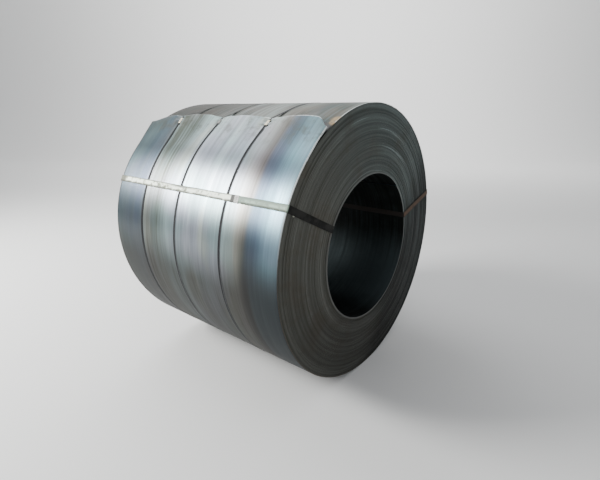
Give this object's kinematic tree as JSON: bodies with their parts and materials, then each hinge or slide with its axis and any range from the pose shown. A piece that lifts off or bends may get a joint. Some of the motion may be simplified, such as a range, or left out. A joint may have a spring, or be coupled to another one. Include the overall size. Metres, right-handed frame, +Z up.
{
  "type": "steel coil",
  "caption": "Hot-rolled steel strip wound into a thick coil with an open eye, lying on its side and bound by steel belly straps and eye straps.",
  "frame": {"origin": "on the floor below the middle of the coil", "axes": "+X along the coil's axis, towards the end that faces the viewer; +Z up; +Y away from the viewer's side"},
  "size_m": [1.2218, 1.42, 1.4178],
  "materials": {
    "strip": "hot-rolled steel with a blue and brown oxide tint, satin along the winding",
    "belly_strap": "blued steel strapping, dull",
    "belly_seal": "crimped zinc-coated steel",
    "eye_strap_pale": "pale coated steel strapping, scuffed",
    "eye_strap_rusty": "steel strapping with brown rust",
    "eye_seal": "crimped steel, dull grey"
  },
  "bodies": {
    "root": {"steel_coil": "strip", "belly_strap_1": "belly_strap", "belly_strap_2": "belly_strap", "belly_strap_3": "belly_strap", "belly_seal_1": "belly_seal", "belly_seal_2": "belly_seal", "belly_seal_3": "belly_seal", "eye_strap_left": "eye_strap_pale", "eye_strap_right": "eye_strap_rusty", "eye_seal_left": "eye_seal", "eye_seal_right": "eye_seal"}
  },
  "joints": []
}
